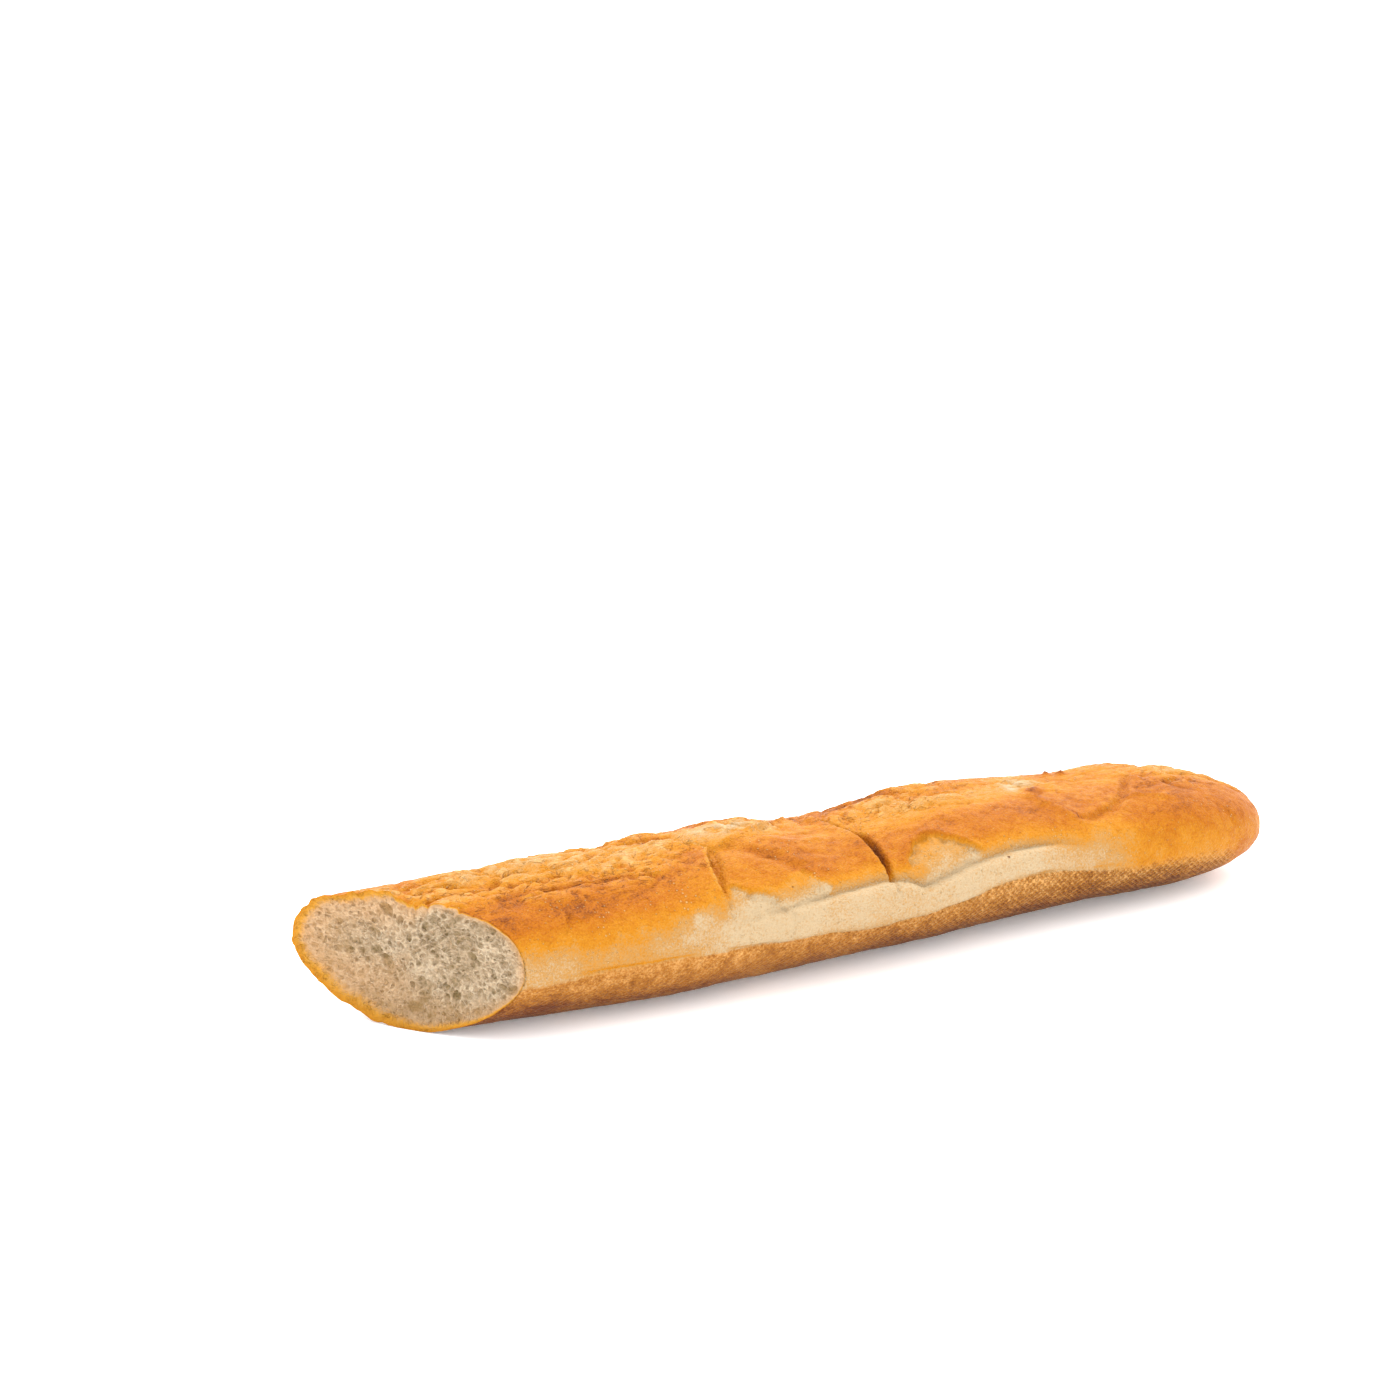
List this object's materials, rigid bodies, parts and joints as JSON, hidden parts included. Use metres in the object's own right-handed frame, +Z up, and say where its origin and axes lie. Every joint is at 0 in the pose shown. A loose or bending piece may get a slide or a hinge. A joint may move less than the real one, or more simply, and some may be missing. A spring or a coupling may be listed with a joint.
{
  "type": "baguette",
  "caption": "Long crusty loaf with a round tip at one end and a slanted slice cut showing the crumb at the other, slashed along the top.",
  "frame": {"origin": "centre of the bounding box in plan, on the plane that the loaf rests on", "axes": "+X along the loaf from the cut face to the round tip, +Z up through the slashed top"},
  "size_m": [0.3642, 0.0752, 0.0471],
  "materials": {
    "baked_crust": "dry, matt, golden baked crust"
  },
  "bodies": {
    "root": {"baguette_loaf": "baked_crust"}
  },
  "joints": []
}
